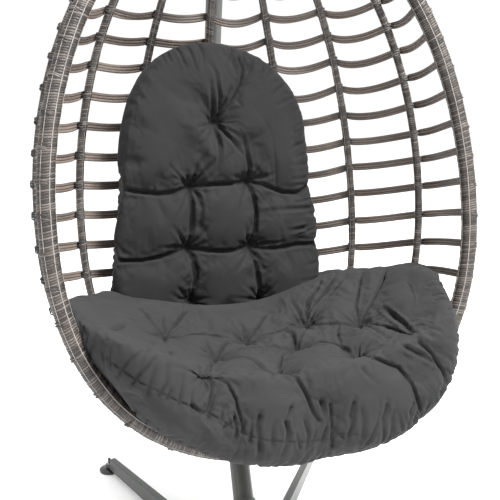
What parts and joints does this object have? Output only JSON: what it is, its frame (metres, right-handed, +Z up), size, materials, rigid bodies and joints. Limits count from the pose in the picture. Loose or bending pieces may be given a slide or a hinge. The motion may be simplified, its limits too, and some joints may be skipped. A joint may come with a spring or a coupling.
{
  "type": "hanging egg chair",
  "caption": "Hanging egg-shaped woven basket chair with seat and back cushions, swinging and turning on a curved floor stand.",
  "frame": {"origin": "on the floor at the middle of the four feet, straight below the pin that the chair hangs from", "axes": "+Z up, +Y towards the mast behind the basket, +X to the right seen from the front; the stand is symmetric about X = 0 and the basket's opening faces -Y, turned 11.3 degrees about +Z"},
  "size_m": [1.1136, 1.2564, 1.9595],
  "materials": {
    "powder_coat": "satin powder coat, dark grey",
    "cap_plastic": "matt black moulding",
    "foot_plastic": "semi-gloss black moulding",
    "hardware": "zinc plated",
    "basket_steel": "powder coat, dark brown-grey",
    "wicker": "extruded flat weaving strand, grey-brown",
    "cushion_fabric": "woven polyester, charcoal"
  },
  "bodies": {
    "stand": {"base_hub": "powder_coat", "leg_rear_right": "powder_coat", "leg_rear_left": "powder_coat", "leg_front_right": "powder_coat", "leg_front_left": "powder_coat", "leg_screws": "hardware", "foot_lock_nuts": "hardware", "mast_lower": "powder_coat", "mast_upper": "powder_coat", "mast_bolts": "hardware", "mast_end_cap": "cap_plastic", "hanging_eye": "hardware", "eye_saddles": "powder_coat", "eye_cap_nut": "hardware"},
    "foot_body_rear_right": {"foot_rear_right": "foot_plastic"},
    "foot_body_rear_left": {"foot_rear_left": "foot_plastic"},
    "foot_body_front_right": {"foot_front_right": "foot_plastic"},
    "foot_body_front_left": {"foot_front_left": "foot_plastic"},
    "upper_link": {"upper_shackle": "hardware", "upper_shackle_pin": "hardware"},
    "swivel_top": {"swivel_head": "hardware", "swivel_thrust_bearing": "hardware"},
    "swivel_bottom": {"swivel_stem": "hardware"},
    "lower_link": {"lower_shackle": "hardware", "lower_shackle_pin": "hardware"},
    "basket": {"rib_wrap_centre": "wicker", "rib_wrap_left_1": "wicker", "rib_wrap_left_2": "wicker", "rib_wrap_left_3": "wicker", "rib_wrap_right_1": "wicker", "rib_wrap_right_2": "wicker", "rib_wrap_right_3": "wicker", "rib_rods": "basket_steel", "rim_wrap": "wicker", "rim_tube": "basket_steel", "crown_ring": "basket_steel", "base_ring": "basket_steel", "crown_plate": "basket_steel", "crown_eye": "basket_steel", "weave_row_01": "wicker", "weave_row_02": "wicker", "weave_row_03": "wicker", "weave_row_04": "wicker", "weave_row_05": "wicker", "weave_row_06": "wicker", "weave_row_07": "wicker", "weave_row_08": "wicker", "weave_row_09": "wicker", "weave_row_10": "wicker", "weave_row_11": "wicker", "weave_row_12": "wicker", "weave_row_13": "wicker", "weave_row_14": "wicker", "weave_row_15": "wicker", "weave_row_16": "wicker", "weave_row_17": "wicker", "weave_row_18": "wicker", "seat_cushion": "cushion_fabric", "back_cushion": "cushion_fabric"}
  },
  "joints": [
    {"name": "level_rear_right", "type": "slide", "parent": "stand", "child": "foot_body_rear_right", "axis": [0, 0, -1], "range_m": [0, 0.01]},
    {"name": "level_rear_left", "type": "slide", "parent": "stand", "child": "foot_body_rear_left", "axis": [0, 0, -1], "range_m": [0, 0.01]},
    {"name": "level_front_right", "type": "slide", "parent": "stand", "child": "foot_body_front_right", "axis": [0, 0, -1], "range_m": [0, 0.01]},
    {"name": "level_front_left", "type": "slide", "parent": "stand", "child": "foot_body_front_left", "axis": [0, 0, -1], "range_m": [0, 0.01]},
    {"name": "swing_fore_aft", "type": "hinge", "parent": "stand", "child": "upper_link", "pos_m": [0, 0, 1.8603], "axis": [1, 0, 0], "range_deg": [-12, 3]},
    {"name": "swing_sideways", "type": "hinge", "parent": "upper_link", "child": "swivel_top", "pos_m": [0, 0, 1.8331], "axis": [0, 1, 0], "range_deg": [-8, 8]},
    {"name": "swivel", "type": "hinge", "parent": "swivel_top", "child": "swivel_bottom", "pos_m": [0, 0, 1.7606], "axis": [0, 0, 1], "range_deg": [-71.3, 48.7]},
    {"name": "lower_pin_tilt", "type": "hinge", "parent": "swivel_bottom", "child": "lower_link", "pos_m": [0, 0, 1.7366], "axis": [0.9806, 0.1959, 0], "range_deg": [-4, 1.5]},
    {"name": "crown_tilt", "type": "hinge", "parent": "lower_link", "child": "basket", "pos_m": [0, 0, 1.6846], "axis": [0.9806, 0.1959, 0], "range_deg": [-6, 2]}
  ]
}
